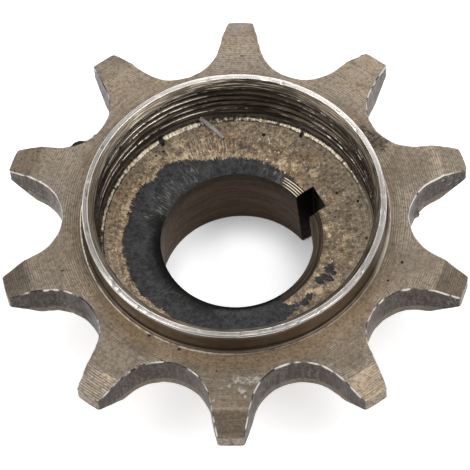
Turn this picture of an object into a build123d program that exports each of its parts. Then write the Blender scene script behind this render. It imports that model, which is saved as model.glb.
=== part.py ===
"""Ten-tooth drive sprocket for half-inch roller chain.

Turned, toothed and broached from one steel forging.  The axis is +Z and the
origin is the middle of the hub's seating face, so the part stands on z = 0.
A tooth gap is centred on +X and a tooth on +Y.  All sizes are millimetres.
"""
import os
from math import cos, radians, sin, tan

from build123d import *

# --- chain and teeth ---
pitch = 12.7
roller_d = 7.75
teeth = 10
step_deg = 360 / teeth
pitch_r = pitch / (2 * sin(radians(step_deg / 2)))
root_r = pitch_r - roller_d / 2
seat_r = 4.6
flank_deg = 30.0
tip_r = 23.05

# --- heights, from the hub's seating face ---
total_h = 16.3
tooth_t = 4.2
collar_h = 2.85
face_z = total_h - collar_h
under_z = face_z - tooth_t
recess_depth = 6.2
floor_z = total_h - recess_depth
floor_t = 3.55
shoulder_z = floor_z - floor_t

# --- bevels on both sides of the tooth tips ---
bevel_run = 2.5
bevel_drop = 1.15
under_run = 2.8
under_drop = 1.55

# --- recess with its threaded wall and a floor that falls towards the bore ---
thread_minor_r = 13.35
lead_w = 0.58
lead_h = 0.65
mouth_r = thread_minor_r + lead_w
relief_h = 0.45
relief_depth = 0.2
corner_h = 0.5
corner_w = 0.5
floor_slope = 9.0
floor_edge_r = thread_minor_r - corner_w
floor_fall = tan(radians(floor_slope))

# --- collar round the recess, and the land at its foot ---
collar_wall = 1.15
collar_r = thread_minor_r + collar_wall
rim_chamfer = 0.22
land_w = 0.42
land_r = collar_r + land_w
land_h = 0.14
land_chamfer = 0.07
collar_fillet = 0.22

# --- tapered bore, keyway and the shallow off-centre dish at its mouth ---
bore_r = 7.42
bore_land = 1.0
bore_taper = 1 / 10
mouth_chamfer = 0.95
mouth_drop = 0.34
tail_chamfer = 0.2
key_w = 2.6
key_reach = 9.2
key_deg = 30.0
dish_r = 9.7
dish_offset = 1.4
dish_deg = 188.0
dish_depth = 0.15

# --- shoulder and hub under the teeth, the shoulder as wide as the collar ---
shoulder_r = collar_r
hub_r = 11.0
hub_fillet = 1.2
edge_chamfer = 0.4


def turned(points):
    """Sweep one half section (radius, height) round the axis."""
    with BuildSketch(Plane.XZ) as section:
        with BuildLine():
            Polyline(*points, close=True)
        make_face()
    return revolve(section.sketch, axis=Axis.Z)


with BuildPart() as sprocket:
    # Disc that the teeth are cut from, thinned towards its edge on both faces.
    add(turned([
        (0, under_z),
        (tip_r - under_run, under_z),
        (tip_r, under_z + under_drop),
        (tip_r, face_z - bevel_drop),
        (tip_r - bevel_run, face_z),
        (0, face_z),
    ]))

    # One gap: a round seat for the roller, opening into two straight flanks.
    seat_x = root_r + seat_r
    flank_x = seat_x - seat_r * sin(radians(flank_deg))
    flank_y = seat_r * cos(radians(flank_deg))
    run_out = tip_r + 1.0 - flank_x
    mouth_y = flank_y + run_out * tan(radians(flank_deg))
    with BuildSketch(Plane.XY.offset(under_z)) as gaps:
        with PolarLocations(0, teeth):
            with Locations((seat_x, 0)):
                Circle(seat_r)
            Polygon(
                (flank_x, -flank_y),
                (flank_x + run_out, -mouth_y),
                (flank_x + run_out, mouth_y),
                (flank_x, flank_y),
                align=None,
            )
    extrude(amount=tooth_t, mode=Mode.SUBTRACT)

    # Collar above the teeth, standing on a thin turned land.
    add(turned([
        (0, face_z),
        (land_r, face_z),
        (land_r, face_z + land_h - land_chamfer),
        (land_r - land_chamfer, face_z + land_h),
        (collar_r, face_z + land_h),
        (collar_r, total_h - rim_chamfer),
        (collar_r - rim_chamfer, total_h),
        (0, total_h),
    ]))

    # Shoulder under the recess floor and the hub that carries the bore.
    add(turned([
        (0, 0),
        (hub_r - edge_chamfer, 0),
        (hub_r, edge_chamfer),
        (hub_r, shoulder_z),
        (shoulder_r - edge_chamfer, shoulder_z),
        (shoulder_r, shoulder_z + edge_chamfer),
        (shoulder_r, under_z),
        (0, under_z),
    ]))

    # Inside corners left by the turning tool.
    def at(radius, height):
        circles = sprocket.edges().filter_by(GeomType.CIRCLE)
        return circles.filter_by(
            lambda e: abs(e.radius - radius) < 0.01 and abs(e.center().Z - height) < 0.01
        )

    fillet(at(collar_r, face_z + land_h), collar_fillet)
    fillet(at(hub_r, shoulder_z), hub_fillet)

    # Recess: lead-in, threaded wall, relief groove, broken corner and coned floor.
    thread_end = floor_z + corner_h + relief_h
    add(turned([
        (0, floor_z - floor_edge_r * floor_fall),
        (floor_edge_r, floor_z),
        (thread_minor_r, floor_z + corner_h),
        (thread_minor_r + relief_depth, floor_z + corner_h + relief_depth / 2),
        (thread_minor_r + relief_depth, thread_end - relief_depth / 2),
        (thread_minor_r, thread_end),
        (thread_minor_r, total_h - lead_h),
        (mouth_r, total_h),
        (0, total_h),
    ]), mode=Mode.SUBTRACT)

    # Shallow dish beside the bore.  Its rim is a circle off the turned axis, and
    # its bottom runs at one depth below the coned floor.
    with BuildPart(mode=Mode.PRIVATE) as dish:
        add(turned([
            (0, floor_z - floor_edge_r * floor_fall - dish_depth),
            (floor_edge_r, floor_z - dish_depth),
            (floor_edge_r, total_h),
            (0, total_h),
        ]))
        with Locations((dish_offset * cos(radians(dish_deg)), dish_offset * sin(radians(dish_deg)))):
            Cylinder(
                dish_r,
                total_h,
                align=(Align.CENTER, Align.CENTER, Align.MIN),
                mode=Mode.INTERSECT,
            )
    add(dish.part, mode=Mode.SUBTRACT)

    # Bore: a short parallel land under its mouth, then a taper that widens towards
    # the hub's face, with both edges broken.  The keyway is broached through it.
    mouth_z = floor_z - (floor_edge_r - bore_r - mouth_chamfer) * floor_fall
    land_z = mouth_z - mouth_drop - bore_land
    tail_r = bore_r + (land_z - tail_chamfer) * bore_taper / 2
    add(turned([
        (0, 0),
        (tail_r + tail_chamfer, 0),
        (tail_r, tail_chamfer),
        (bore_r, land_z),
        (bore_r, mouth_z - mouth_drop),
        (bore_r + mouth_chamfer, mouth_z),
        (0, mouth_z),
    ]), mode=Mode.SUBTRACT)
    with BuildSketch(Plane.XY) as key:
        with Locations(Rotation(0, 0, key_deg)):
            Rectangle(key_reach, key_w, align=(Align.MIN, Align.CENTER))
    extrude(amount=floor_z, mode=Mode.SUBTRACT)

sprocket.part.label = "sprocket"
os.makedirs("parts", exist_ok=True)
export_step(sprocket.part, "parts/sprocket.step")
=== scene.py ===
# %% [markdown]
# # A ten-tooth drive sprocket for half-inch chain
# The part is one steel forging, turned, toothed and broached.  Its exact solid
# comes from the CAD frame, and this lesson dresses it as the shop and some years
# in a drawer left it: turning rings, a puller thread, a patch of forging skin,
# burrs, worn edges and a thin brown film.  Shapes are drawn in millimetres.

# %% Load the CAD frame
from functools import partialmethod
from math import atan2, cos, pi, radians, sin, tan

import bmesh
import bpy
import numpy as np
from numpy import clip, concatenate, hypot, interp, linspace, maximum, minimum, stack, where
from mathutils import Matrix, Vector


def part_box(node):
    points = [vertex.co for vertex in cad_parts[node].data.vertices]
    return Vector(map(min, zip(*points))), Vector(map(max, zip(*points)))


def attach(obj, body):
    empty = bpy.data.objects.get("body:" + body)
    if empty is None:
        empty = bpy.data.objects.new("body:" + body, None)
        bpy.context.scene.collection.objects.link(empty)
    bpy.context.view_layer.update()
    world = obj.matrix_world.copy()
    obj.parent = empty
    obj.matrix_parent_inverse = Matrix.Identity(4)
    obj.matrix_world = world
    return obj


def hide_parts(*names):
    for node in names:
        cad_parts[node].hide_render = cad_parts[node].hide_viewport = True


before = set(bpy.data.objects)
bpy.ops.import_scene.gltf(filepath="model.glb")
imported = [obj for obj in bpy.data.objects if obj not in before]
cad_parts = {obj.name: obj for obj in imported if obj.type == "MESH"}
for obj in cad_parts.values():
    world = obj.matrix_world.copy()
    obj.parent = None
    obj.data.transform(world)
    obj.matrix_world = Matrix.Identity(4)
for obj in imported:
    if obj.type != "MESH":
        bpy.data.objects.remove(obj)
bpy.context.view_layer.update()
scene = bpy.context.scene
MM = 0.001
cad_box = [[round(v / MM, 2) for v in corner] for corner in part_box("sprocket")]
print("CAD node box in mm:", cad_box)

# %% [markdown]
# ## Camera
# A long lens from arm's length looks down at sixty degrees, so that the recess,
# the collar and the near flanks all show.  A look-at constraint could not hold
# the few degrees of roll, so the matrix is built from three directions.

# %% Camera
def placed(name, data):
    """A new object with this data, linked into the scene."""
    thing = bpy.data.objects.new(name, data)
    scene.collection.objects.link(thing)
    return thing


camera_data = bpy.data.cameras.new("camera")
camera_data.sensor_width = 36
camera_data.lens = 248.5
camera_data.clip_start = 0.01
camera = placed("camera", camera_data)
scene.camera = camera

heading, drop, roll = radians(95.4035), radians(60.182), radians(-4.8234)
forward = Vector((cos(drop) * cos(heading), cos(drop) * sin(heading), -sin(drop)))
level = forward.cross(Vector((0, 0, 1))).normalized()
upright = level.cross(forward)
camera_x = level * cos(roll) + upright * sin(roll)
camera_y = upright * cos(roll) - level * sin(roll)
camera.matrix_world = Matrix((camera_x, camera_y, -forward)).transposed().to_4x4()
camera.location = Vector((14.517, -155.269, 282.147)) * MM
print("camera height in mm:", round(camera.location.z / MM, 1))

# %% [markdown]
# ## Light
# Bare steel shows what stands round it more than what falls on it.  Two soft
# boxes draw the glints on the thread, one behind lights the rim and the faces,
# and a grey world fills the rest.  Lamps in front would flatten the near walls.

# %% Soft boxes and world
LAMP_REACH = 0.7


def soft_box(name, azimuth, height, size, power):
    """An area lamp at this azimuth and elevation, turned to the part."""
    lamp = bpy.data.lights.new(name, "AREA")
    lamp.shape = "RECTANGLE"
    lamp.size, lamp.size_y = size
    lamp.energy = power
    box = placed(name, lamp)
    a, e = radians(azimuth), radians(height)
    box.location = Vector((cos(e) * cos(a), cos(e) * sin(a), sin(e))) * LAMP_REACH
    box.rotation_euler = (-box.location).to_track_quat("-Z", "Y").to_euler()


soft_box("box_left", 201, 54, (0.34, 0.34), 1.4)
soft_box("box_right", -24, 58, (0.34, 0.34), 1.4)
soft_box("box_back", 78, 40, (0.62, 0.48), 1.7)
soft_box("box_top", 90, 85, (0.22, 0.22), 0.7)

world = bpy.data.worlds.new("studio")
world.use_nodes = True
nodes = world.node_tree.nodes
fill = nodes["Background"]
fill.inputs["Color"].default_value = (1, 1, 1, 1)
fill.inputs["Strength"].default_value = 0.3
kinds = ("Background", "LightPath", "MixShader")
backdrop, seen, chosen = (nodes.new("ShaderNode" + kind) for kind in kinds)
for output, socket in (
    (seen.outputs["Is Camera Ray"], chosen.inputs[0]),
    (fill.outputs[0], chosen.inputs[1]),
    (backdrop.outputs[0], chosen.inputs[2]),
    (chosen.outputs[0], nodes["World Output"].inputs["Surface"]),
):
    world.node_tree.links.new(output, socket)
scene.world = world
scene.view_settings.view_transform = "Standard"
print("lamps:", [lamp.name for lamp in bpy.data.lights])

# %% [markdown]
# ## Node helper
# Every finish is a small graph, and writing it node by node hides the idea.  One
# helper adds a node, fills its sockets and returns an output.  Places come out in
# millimetres from the axis.  The colour starts as one tone, and paint() lays the
# next tone over it.

# %% Graph helper
def finish(name):
    return bpy.data.materials.get(name) or bpy.data.materials.new(name)


def polar(r, azimuth):
    """The point of the ground plane at this radius and this azimuth in degrees."""
    return r * cos(radians(azimuth)), r * sin(radians(azimuth)), 0.0


class Graph:
    """Adds nodes to one material.  A socket takes a number, a tuple or a node's output."""

    def __init__(self, name, ground=None):
        material = finish(name)
        material.use_nodes = True
        self.name, self.colour, self.layers = name, ground, []
        self.tree = material.node_tree
        self.tree.nodes.clear()
        self.out = self.tree.nodes.new("ShaderNodeOutputMaterial")
        self.mm = self.vector("SCALE", self.add("TexCoord", want="Object"), scale=1 / MM)
        self.x, self.y, self.z = self.split(self.mm)
        self.flat = self.add("CombineXYZ", (self.x, self.y, 0))
        self.radius = self.vector("LENGTH", self.flat, want="Value")
        self.ray = self.vector("NORMALIZE", self.flat)

    def add(self, kind, values=(), want=0, **settings):
        """Add a node, feed its sockets by place or name, and return the wanted output."""
        node = self.tree.nodes.new("ShaderNode" + kind)
        for key, value in settings.items():
            setattr(node, key, value)
        for key, value in values.items() if isinstance(values, dict) else enumerate(values):
            if isinstance(value, bpy.types.NodeSocket):
                self.tree.links.new(value, node.inputs[key])
            elif isinstance(value, tuple) and node.inputs[key].type == "RGBA":
                node.inputs[key].default_value = (*value, 1)
            elif value is not None:
                node.inputs[key].default_value = value
        return node.outputs[want]

    def math(self, operation, a, b=0):
        return self.add("Math", (a, b), operation=operation)

    plus = partialmethod(math, "ADD")
    minus = partialmethod(math, "SUBTRACT")
    most = partialmethod(math, "MAXIMUM")

    def times(self, product, *factors):
        for factor in factors:
            product = self.math("MULTIPLY", product, factor)
        return product

    def vector(self, operation, a, b=None, scale=None, want=0):
        return self.add("VectorMath", {0: a, 1: b, "Scale": scale}, want, operation=operation)

    def split(self, vector):
        return self.add("SeparateXYZ", (vector,)).node.outputs

    def noise(self, scale, detail=3, roughness=0.55, stretch=None, place=None):
        """About scale grains a millimetre; stretch packs them closer along an axis."""
        place = place or self.mm
        if stretch:
            place = self.vector("MULTIPLY", place, stretch)
        values = {"Vector": place, "Scale": scale, "Detail": detail, "Roughness": roughness}
        return self.add("TexNoise", values, "Fac")

    def span(self, value, low, high, start=0, end=1):
        """Map low..high onto start..end, smoothly and clamped."""
        values = (value, low, high, start, end)
        return self.add("MapRange", values, interpolation_type="SMOOTHSTEP")

    def blend(self, amount, under, over):
        return self.add("Mix", {0: amount, 6: under, 7: over}, 2, data_type="RGBA")

    def paint(self, layer, tone, value, low=None, high=None, most=1):
        """Lay a tone over the colour by value, or by how far value is from low to high."""
        amount = value if low is None else self.span(value, low, high, 0, most)
        self.colour = self.blend(amount, self.colour, tone)
        self.colour.node.label = layer
        self.layers.append(layer)

    def dim(self, amount):
        self.colour = self.vector("SCALE", self.colour, scale=amount)

    def mark(self, name):
        return self.add("Attribute", want="Fac", attribute_name=name)

    def rings(self, pitch, length, detail=3):
        """Concentric streaks: fast across the radius, slow along the circle."""
        across = self.math("DIVIDE", self.radius, pitch)
        x, y, _ = self.split(self.vector("SCALE", self.flat, scale=1 / length))
        return self.noise(1, detail, place=self.add("CombineXYZ", (across, x, y)))

    def spokes(self, count, length, detail=3):
        """Radial streaks: fast round the circle, slow along the radius."""
        x, y, _ = self.split(self.vector("SCALE", self.ray, scale=count / (2 * pi)))
        along = self.math("DIVIDE", self.radius, length)
        return self.noise(1, detail, place=self.add("CombineXYZ", (x, y, along)))

    def lines(self, pitch, wobble=0):
        """Even turning lines, one every pitch: 0 in the groove, 1 on the ridge."""
        away = self.radius
        if wobble:
            away = self.plus(away, self.times(self.noise(0.35, 2), wobble))
        wave = self.math("SINE", self.times(away, 2 * pi / pitch))
        return self.plus(0.5, self.times(wave, 0.5))

    def spots(self, places, strength=1):
        """Strength inside each ragged spot (radius, azimuth, size), 0 outside."""
        found = 0
        ragged = self.minus(self.noise(2.2), 0.5)
        for r, azimuth, size in places:
            away = self.vector("DISTANCE", self.flat, polar(r, azimuth), want="Value")
            away = self.plus(away, self.times(ragged, size * 1.6))
            found = self.most(found, self.span(away, size * 0.6, size, 1, 0))
        return found if strength == 1 else self.times(found, strength)

    def towards(self, azimuth):
        """1 on the side of this azimuth, -1 opposite."""
        return self.vector("DOT_PRODUCT", self.ray, polar(1, azimuth), want="Value")

    def bump(self, height, depth, normal=None):
        return self.add("Bump", {"Height": height, "Distance": depth * MM, "Normal": normal})

    def steel(self, roughness, normal, metallic=0.85, **more):
        """Close the graph with the painted colour, and print its layers."""
        values = {"Base Color": self.colour, "Roughness": roughness, "Normal": normal}
        values |= {"Metallic": metallic} | {key.replace("_", " "): more[key] for key in more}
        self.tree.links.new(self.add("BsdfPrincipled", values), self.out.inputs["Surface"])
        print(self.name, "layers:", ", ".join(self.layers))


# %% [markdown]
# ## Table
# The white table is a backdrop, yet polished steel mirrors it.  A lamp on it
# would light the part too.  So it is a matt sheet with a little glow that only
# the camera and mirror-like rays see, which leaves the shadow just visible.

# %% White table
SHADE_FROM, SHADE_TO = 8.5, 9.5  # the part's shade ends between these radii
paper = Graph("white_paper")
sight = paper.add("LightPath").node.outputs
looking = paper.most(sight["Is Camera Ray"], sight["Is Glossy Ray"])
looking = paper.most(looking, sight["Is Transmission Ray"])
# Painted shade and light: under the bore the glow falls towards the wall, a painted contact
# shadow, and is raised on the left, a painted light.
left_painted_light = paper.span(paper.x, -2, -6.5, 0, 0.3)
bore_light_and_shade = paper.plus(paper.span(paper.radius, 3.6, 7.9, 0.52, 0.16), left_painted_light)
bore_light_and_shade = paper.times(bore_light_and_shade, paper.span(paper.radius, SHADE_FROM, SHADE_TO, 1, 0))
beside = paper.times(paper.span(paper.radius, SHADE_FROM, SHADE_TO), 0.6)
strength = paper.times(looking, paper.plus(bore_light_and_shade, beside))
glow = paper.add("Emission", {"Color": (1, 1, 1), "Strength": strength})
matt = paper.add("BsdfDiffuse", {"Color": (0.86, 0.86, 0.87)})
paper.tree.links.new(paper.add("AddShader", (glow, matt)), paper.out.inputs["Surface"])

HALF = 2  # metres from the middle of the table to its edge
table_mesh = bpy.data.meshes.new("table")
table_corners = [(x * HALF, y * HALF, 0) for x, y in ((-1, -1), (1, -1), (1, 1), (-1, 1))]
table_mesh.from_pydata(table_corners, [], [(0, 1, 2, 3)])
table_mesh.materials.append(finish("white_paper"))
table = placed("table", table_mesh)
print("table edge in metres:", 2 * HALF)

# %% [markdown]
# ## Unevenness
# Forged and worn steel is never even.  A noise texture could displace it, but a
# seeded lattice of numbers in numpy, blended between its points, can also decide
# where a burr stands or where the skin ends.

# %% Cloud of values
CELLS, SEED_STEP = 32, 7.31
LATTICE = np.random.default_rng(31).random((CELLS, CELLS, CELLS))


def cloud(points, size, seed=0):
    """Smooth random values from 0 to 1, changing over this size in mm."""
    points = np.asarray(points, float) / size + seed * SEED_STEP
    cell = np.floor(points).astype(int)
    part = points - cell
    part = part * part * (3 - 2 * part)
    total = 0.0
    for corner in np.ndindex(2, 2, 2):
        weight = 1.0
        for axis, d in enumerate(corner):
            weight = weight * (part[..., axis] if d else 1 - part[..., axis])
        i, j, k = ((cell[..., axis] + d) % CELLS for axis, d in enumerate(corner))
        total = total + weight * LATTICE[i, j, k]
    return total


def at_height(x, y, z=0.0):
    return stack(np.broadcast_arrays(x, y, z), -1)


print("a row of the cloud:", cloud(at_height(np.arange(4), 0), 1.5).round(2))

# %% [markdown]
# ## Writing a mesh
# Every face of the part is a sheet of points: rows go along the half section and
# columns round the axis.  One function welds sheets into a closed shell, keeps a
# finish for each, and stores marks such as wear and painted light for the finishes to read.

# %% Sheets to a closed shell
WELD, SLIVER = 1e-6, 1e-7  # metres
SHARP = radians(32)


def shell(name, sheets, finishes, marks=("wear_and_light",)):
    """Weld sheets of (grid in mm, finish index, {mark: values}) into one piece."""
    points, faces, slots = [], [], []
    values = {mark: [] for mark in marks}
    start = 0
    for grid, slot, given in sheets:
        rows, columns = grid.shape[:2]
        index = start + np.arange(rows * columns).reshape(rows, columns)
        quads = [index[:-1, :-1], index[:-1, 1:], index[1:, 1:], index[1:, :-1]]
        quads = stack(quads, -1).reshape(-1, 4)
        points.append(grid.reshape(-1, 3))
        faces.append(quads)
        slots.append(np.full(len(quads), slot))
        for mark in marks:
            values[mark].append(np.broadcast_to(given.get(mark, 0.0), grid.shape[:2]).ravel())
        start += rows * columns
    mesh = bpy.data.meshes.new(name)
    mesh.from_pydata((concatenate(points) * MM).tolist(), [], concatenate(faces).tolist())
    for each in finishes:
        mesh.materials.append(finish(each))
    mesh.polygons.foreach_set("material_index", concatenate(slots).astype(np.int32))
    for mark in marks:
        stored = mesh.attributes.new(mark, "FLOAT", "POINT")
        stored.data.foreach_set("value", concatenate(values[mark]).astype(np.float32))
    work = bmesh.new()
    work.from_mesh(mesh)
    bmesh.ops.remove_doubles(work, verts=work.verts, dist=WELD)
    bmesh.ops.dissolve_degenerate(work, edges=work.edges, dist=SLIVER)
    bmesh.ops.recalc_face_normals(work, faces=work.faces)
    open_edges = sum(1 for edge in work.edges if not edge.is_manifold)
    work.to_mesh(mesh)
    work.free()
    mesh.polygons.foreach_set("use_smooth", np.ones(len(mesh.polygons), bool))
    mesh.set_sharp_from_angle(angle=SHARP)
    piece = placed(name, mesh)
    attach(piece, "root")
    triangles = sum(len(face.vertices) - 2 for face in mesh.polygons)
    print(name, "triangles:", triangles, "open edges:", open_edges)
    return piece


# %% [markdown]
# ## The outline of the teeth
# Each gap is a round seat for the chain's roller that opens into two straight
# flanks, and each tooth ends in a narrow land.  Tracing all ten would let them
# differ, so one gap is drawn and turned ten times.

# %% Tooth outline
TEETH, CHAIN_PITCH, ROLLER = 10, 12.7, 7.75
STEP = 2 * pi / TEETH
ROOT_R = CHAIN_PITCH / (2 * sin(STEP / 2)) - ROLLER / 2
SEAT_R = 4.6
TIP_R = 23.05
FLANK = radians(30)


def turned_by(points, angle):
    c, s = cos(angle), sin(angle)
    return points @ np.array([[c, s], [-s, c]])


sweep = linspace(0, pi / 2 - FLANK, 22)
seat = stack([ROOT_R + SEAT_R - SEAT_R * np.cos(sweep), SEAT_R * np.sin(sweep)], 1)
along = np.array([cos(FLANK), sin(FLANK)])
reach = -seat[-1] @ along + (TIP_R**2 - seat[-1] @ seat[-1] + (seat[-1] @ along) ** 2) ** 0.5
half_gap = concatenate([seat, seat[-1] + np.outer(linspace(0, reach, 16)[1:], along)])
corner = atan2(half_gap[-1, 1], half_gap[-1, 0])
land = linspace(corner, STEP - corner, 12)[1:-1]
tip_land = TIP_R * stack([np.cos(land), np.sin(land)], 1)
one_gap = concatenate([half_gap[:0:-1] * (1, -1), half_gap, tip_land])
outline = concatenate([turned_by(one_gap, k * STEP) for k in range(TEETH)])
outline = concatenate([outline, outline[:1]])
nearby = concatenate([outline[-2:-1], outline, outline[1:2]])
softened = 0.25 * nearby[:-2] + 0.5 * outline + 0.25 * nearby[2:]
outline = where((hypot(*outline.T) > TIP_R - 0.4)[:, None], softened, outline)
ahead = np.roll(outline[:-1], -1, 0) - np.roll(outline[:-1], 1, 0)
ahead = concatenate([ahead, ahead[:1]])
outward = stack([ahead[:, 1], -ahead[:, 0]], 1) / np.linalg.norm(ahead, axis=1)[:, None]


def edge_cloud(size, seed, height=0.0):
    """Cloud values along the outline."""
    return cloud(at_height(*outline.T, height), size, seed)


outline = outline - outward * (0.07 * edge_cloud(0.9, 3) ** 2)[:, None]
print("outline points:", len(outline), "tip land in mm:", round(TIP_R * (STEP - 2 * corner), 2))

# %% [markdown]
# ## Toothed disc
# The blank is thinned at its edge on both sides, so that the chain's plates slide
# on, and its edges are rubbed bright.  A bevel modifier would round them evenly.
# Here each edge gets rows of its own, so the round can vary and carry a mark.

# %% Faces, edges and flanks of the disc
FACE_Z, UNDER_Z = 13.45, 9.25
BEVEL_RUN, BEVEL_DROP = 2.5, 1.15
UNDER_RUN, UNDER_DROP = 2.8, 1.55
HIDDEN_R = 14.2
RUN_ROWS, BEVEL_ROWS = 16, 8


def top_z(r):
    return FACE_Z - clip(r - (TIP_R - BEVEL_RUN), 0, None) * BEVEL_DROP / BEVEL_RUN


def under_z(r):
    return UNDER_Z + clip(r - (TIP_R - UNDER_RUN), 0, None) * UNDER_DROP / UNDER_RUN


rub = 0.04 + 0.07 * edge_cloud(0.7, 1, 5.0)


def face_sheet(height, run):
    """Rows over one face, from a hidden circle over the bevel's crease to the edge."""
    edge = outline - outward * rub[:, None]
    edge_r = hypot(*edge.T)
    rays = edge / edge_r[:, None]
    crease = minimum(TIP_R - run, edge_r - 0.08)
    radii = [HIDDEN_R + (crease - HIDDEN_R) * f for f in linspace(0, 1, RUN_ROWS)]
    radii += [crease + (edge_r - crease) * f for f in linspace(0, 1, BEVEL_ROWS + 1)[1:]]
    return stack([np.column_stack([rays * r[:, None], height(r)]) for r in radii])


def edge_sheet(face, sign):
    """The rubbed round from a face into the flank."""
    rows = []
    for a in linspace(0, pi / 2, 5):
        at = outline - outward * (rub * (1 - sin(a)))[:, None]
        rows.append(np.column_stack([at, face[-1][:, 2] - sign * rub * (1 - cos(a))]))
    return stack(rows)


top, under = face_sheet(top_z, BEVEL_RUN), face_sheet(under_z, UNDER_RUN)
top_edge, under_edge = edge_sheet(top, 1), edge_sheet(under, -1)
flank = stack([top_edge[-1] * (1 - f) + under_edge[-1] * f for f in linspace(0, 1, 12)])
flank[1:-1, :, :2] -= outward * (0.05 * edge_cloud(1.6, 2, 9.0))[:, None]
print("rows on top, edge and flank:", len(top), len(top_edge), len(flank))

# %% Burrs, wear and a painted highlight on the edges
def hump(away, width, power=2):
    """1 where away is 0, falling to 0 beyond this width."""
    return np.exp(-((away / width) ** power))


def distance(x, y, r, azimuth):
    """How far each point lies from the place at this radius and azimuth."""
    return hypot(x - r * cos(radians(azimuth)), y - r * sin(radians(azimuth)))


# Each burr has a radius, an azimuth, a size along the edge and a height off it.
BURRS = [(17.72, 151.3, 0.68, 0.5), (16.7, 146.3, 0.15, 0.12), (22.3, 56.6, 0.4, 0.35)]
LOW_BURRS = [(17.6, 8.2, 0.18, 0.26)]
EDGE_SHARE, WALL_SHARE = np.array([0.3, 0.7, 0.9]), np.array([0.9, 1.0, 0.8, 0.5, 0.2])
for burrs, edge, wall in ((BURRS, top_edge, flank), (LOW_BURRS, under_edge, flank[::-1])):
    for r, azimuth, size, stand in burrs:
        near = hump(distance(*outline.T, r, azimuth), size, 4)
        push = outward * (stand * near * (0.7 + 0.4 * edge_cloud(0.4, 21)))[:, None]
        edge[2:, :, :2] += push * EDGE_SHARE[:, None, None]
        wall[:5, :, :2] += push * WALL_SHARE[:, None, None]
patchy_wear_and_light = clip(1.7 * edge_cloud(0.45, 5, 3.0) - 0.2, 0, 1)
side_gap_highlight = hump(outline[:, 1], 6.5, 4)  # painted highlight: the edges of the left and right gaps are bright all along
patchy_wear_and_light = clip(patchy_wear_and_light + 0.55 * side_gap_highlight, 0, 1)
patchy_wear_and_light = patchy_wear_and_light * where(hypot(*outline.T) > TIP_R - 0.12, 0.45, 1.0)
near_edge = linspace(0, 1, len(flank))[:, None]
flank_wear = np.exp(-near_edge * 26) + 0.5 * np.exp(-(1 - near_edge) * 20)
top_wear_and_light = np.zeros(top.shape[:2])
top_wear_and_light[-1] = patchy_wear_and_light
toothed_disc = shell(
    "toothed_disc",
    [
        (top[:RUN_ROWS], 0, {}),
        (top[RUN_ROWS - 1:], 2, {"wear_and_light": top_wear_and_light[RUN_ROWS - 1:]}),
        (top_edge, 1, {"wear_and_light": patchy_wear_and_light}),
        (flank, 1, {"wear_and_light": flank_wear * patchy_wear_and_light}),
        (under_edge[::-1], 1, {"wear_and_light": 0.7 * patchy_wear_and_light}),
        (under[::-1], 0, {}),
        (stack([under[0], top[0]]), 0, {}),
    ],
    ["tooth_face", "tooth_flank", "tip_bevel"],
)
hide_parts("sprocket")

# %% [markdown]
# ## Collar with its threaded recess
# A collar with a bright bare rim stands over the disc, and its recess takes a
# puller.  A spin modifier could turn its half section, but the section is turned
# in numpy, so that the rim's dents and the painted light on each stretch can be set.

# %% Section helpers
COLLAR_R, TOTAL_H = 14.5, 16.3
LAND_R, LAND_H, FILLET = 14.92, 0.14, 0.22
MOUTH_R, CREST_R = 13.93, 13.35
LEAD_END, THREAD_END = 15.65, 11.05
CORNER_TOP, FLOOR_EDGE_R, FLOOR_Z = 10.6, 12.85, 10.1
FOOT_Z = 9.5  # where collar and hub overlap inside the disc


def section(points, steps):
    """Cut each stretch between (radius, height) points into so many steps."""
    cut = [points[0]]
    for (r0, z0), (r1, z1), n in zip(points, points[1:], steps):
        cut += [(r0 + (r1 - r0) * f, z0 + (z1 - z0) * f) for f in linspace(0, 1, n + 1)[1:]]
    return np.array(cut)


def turned(cut, theta):
    """Turn a section round the axis: rows follow it, columns follow theta."""
    radius, height = cut[:, :1], cut[:, 1:]
    return at_height(radius * np.cos(theta), radius * np.sin(theta), height)


def pushed(grid, amount):
    """Move each point of a sheet away from the axis."""
    moved = grid.copy()
    moved[..., :2] *= (1 + amount / hypot(grid[..., 0], grid[..., 1]))[..., None]
    return moved


def round_corner(centre, radius, start, end, count):
    turn = np.radians(linspace(start, end, count))
    return [(centre[0] + radius * cos(a), centre[1] + radius * sin(a)) for a in turn]


# %% Collar outside, rim and lead-in
THETA = linspace(-pi, pi, 681)
AZIMUTH = np.degrees(THETA)
RIM_ROUND, LIP_ROUND = 0.22, 0.06
land_z = FACE_Z + LAND_H
rim_z = TOTAL_H - 0.005  # a hair under the CAD solid's top
outside = section(
    [(COLLAR_R, FOOT_Z), (COLLAR_R, FACE_Z - 0.25), (LAND_R, FACE_Z - 0.05)]
    + [(LAND_R, land_z - 0.05), (LAND_R - 0.05, land_z)]
    + round_corner((COLLAR_R + FILLET, land_z + FILLET), FILLET, 270, 180, 6)
    + [(COLLAR_R, rim_z - RIM_ROUND)],
    [1] * 10 + [6],
)
rim = section(
    round_corner((COLLAR_R - RIM_ROUND, rim_z - RIM_ROUND), RIM_ROUND, 0, 84, 7)
    + [(14.08, rim_z)]
    + round_corner((MOUTH_R + LIP_ROUND, rim_z - LIP_ROUND), LIP_ROUND, 90, 180, 5),
    [1] * 6 + [2, 2] + [1] * 4,
)
lead = section([(MOUTH_R, rim_z - LIP_ROUND), (13.66, 15.97), (CREST_R, LEAD_END)], [4, 4])
rim_grid, lead_grid = turned(rim, THETA), turned(lead, THETA)


def arc(azimuth, width):
    """1 at this azimuth and falling to 0 beyond this width, both in degrees."""
    return hump((AZIMUTH - azimuth + 180) % 360 - 180, width)


def light_round_circle(*light_arcs):
    """1, and this much more or less round each (share, azimuth, width)."""
    return 1 + sum(share * arc(azimuth, width) for share, azimuth, width in light_arcs)


# Painted light: the rim's colour is scaled round the circle, up where the lamps brighten it and
# down where they leave it dull, apart for the outer round, the flat and the inner lip.
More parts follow.
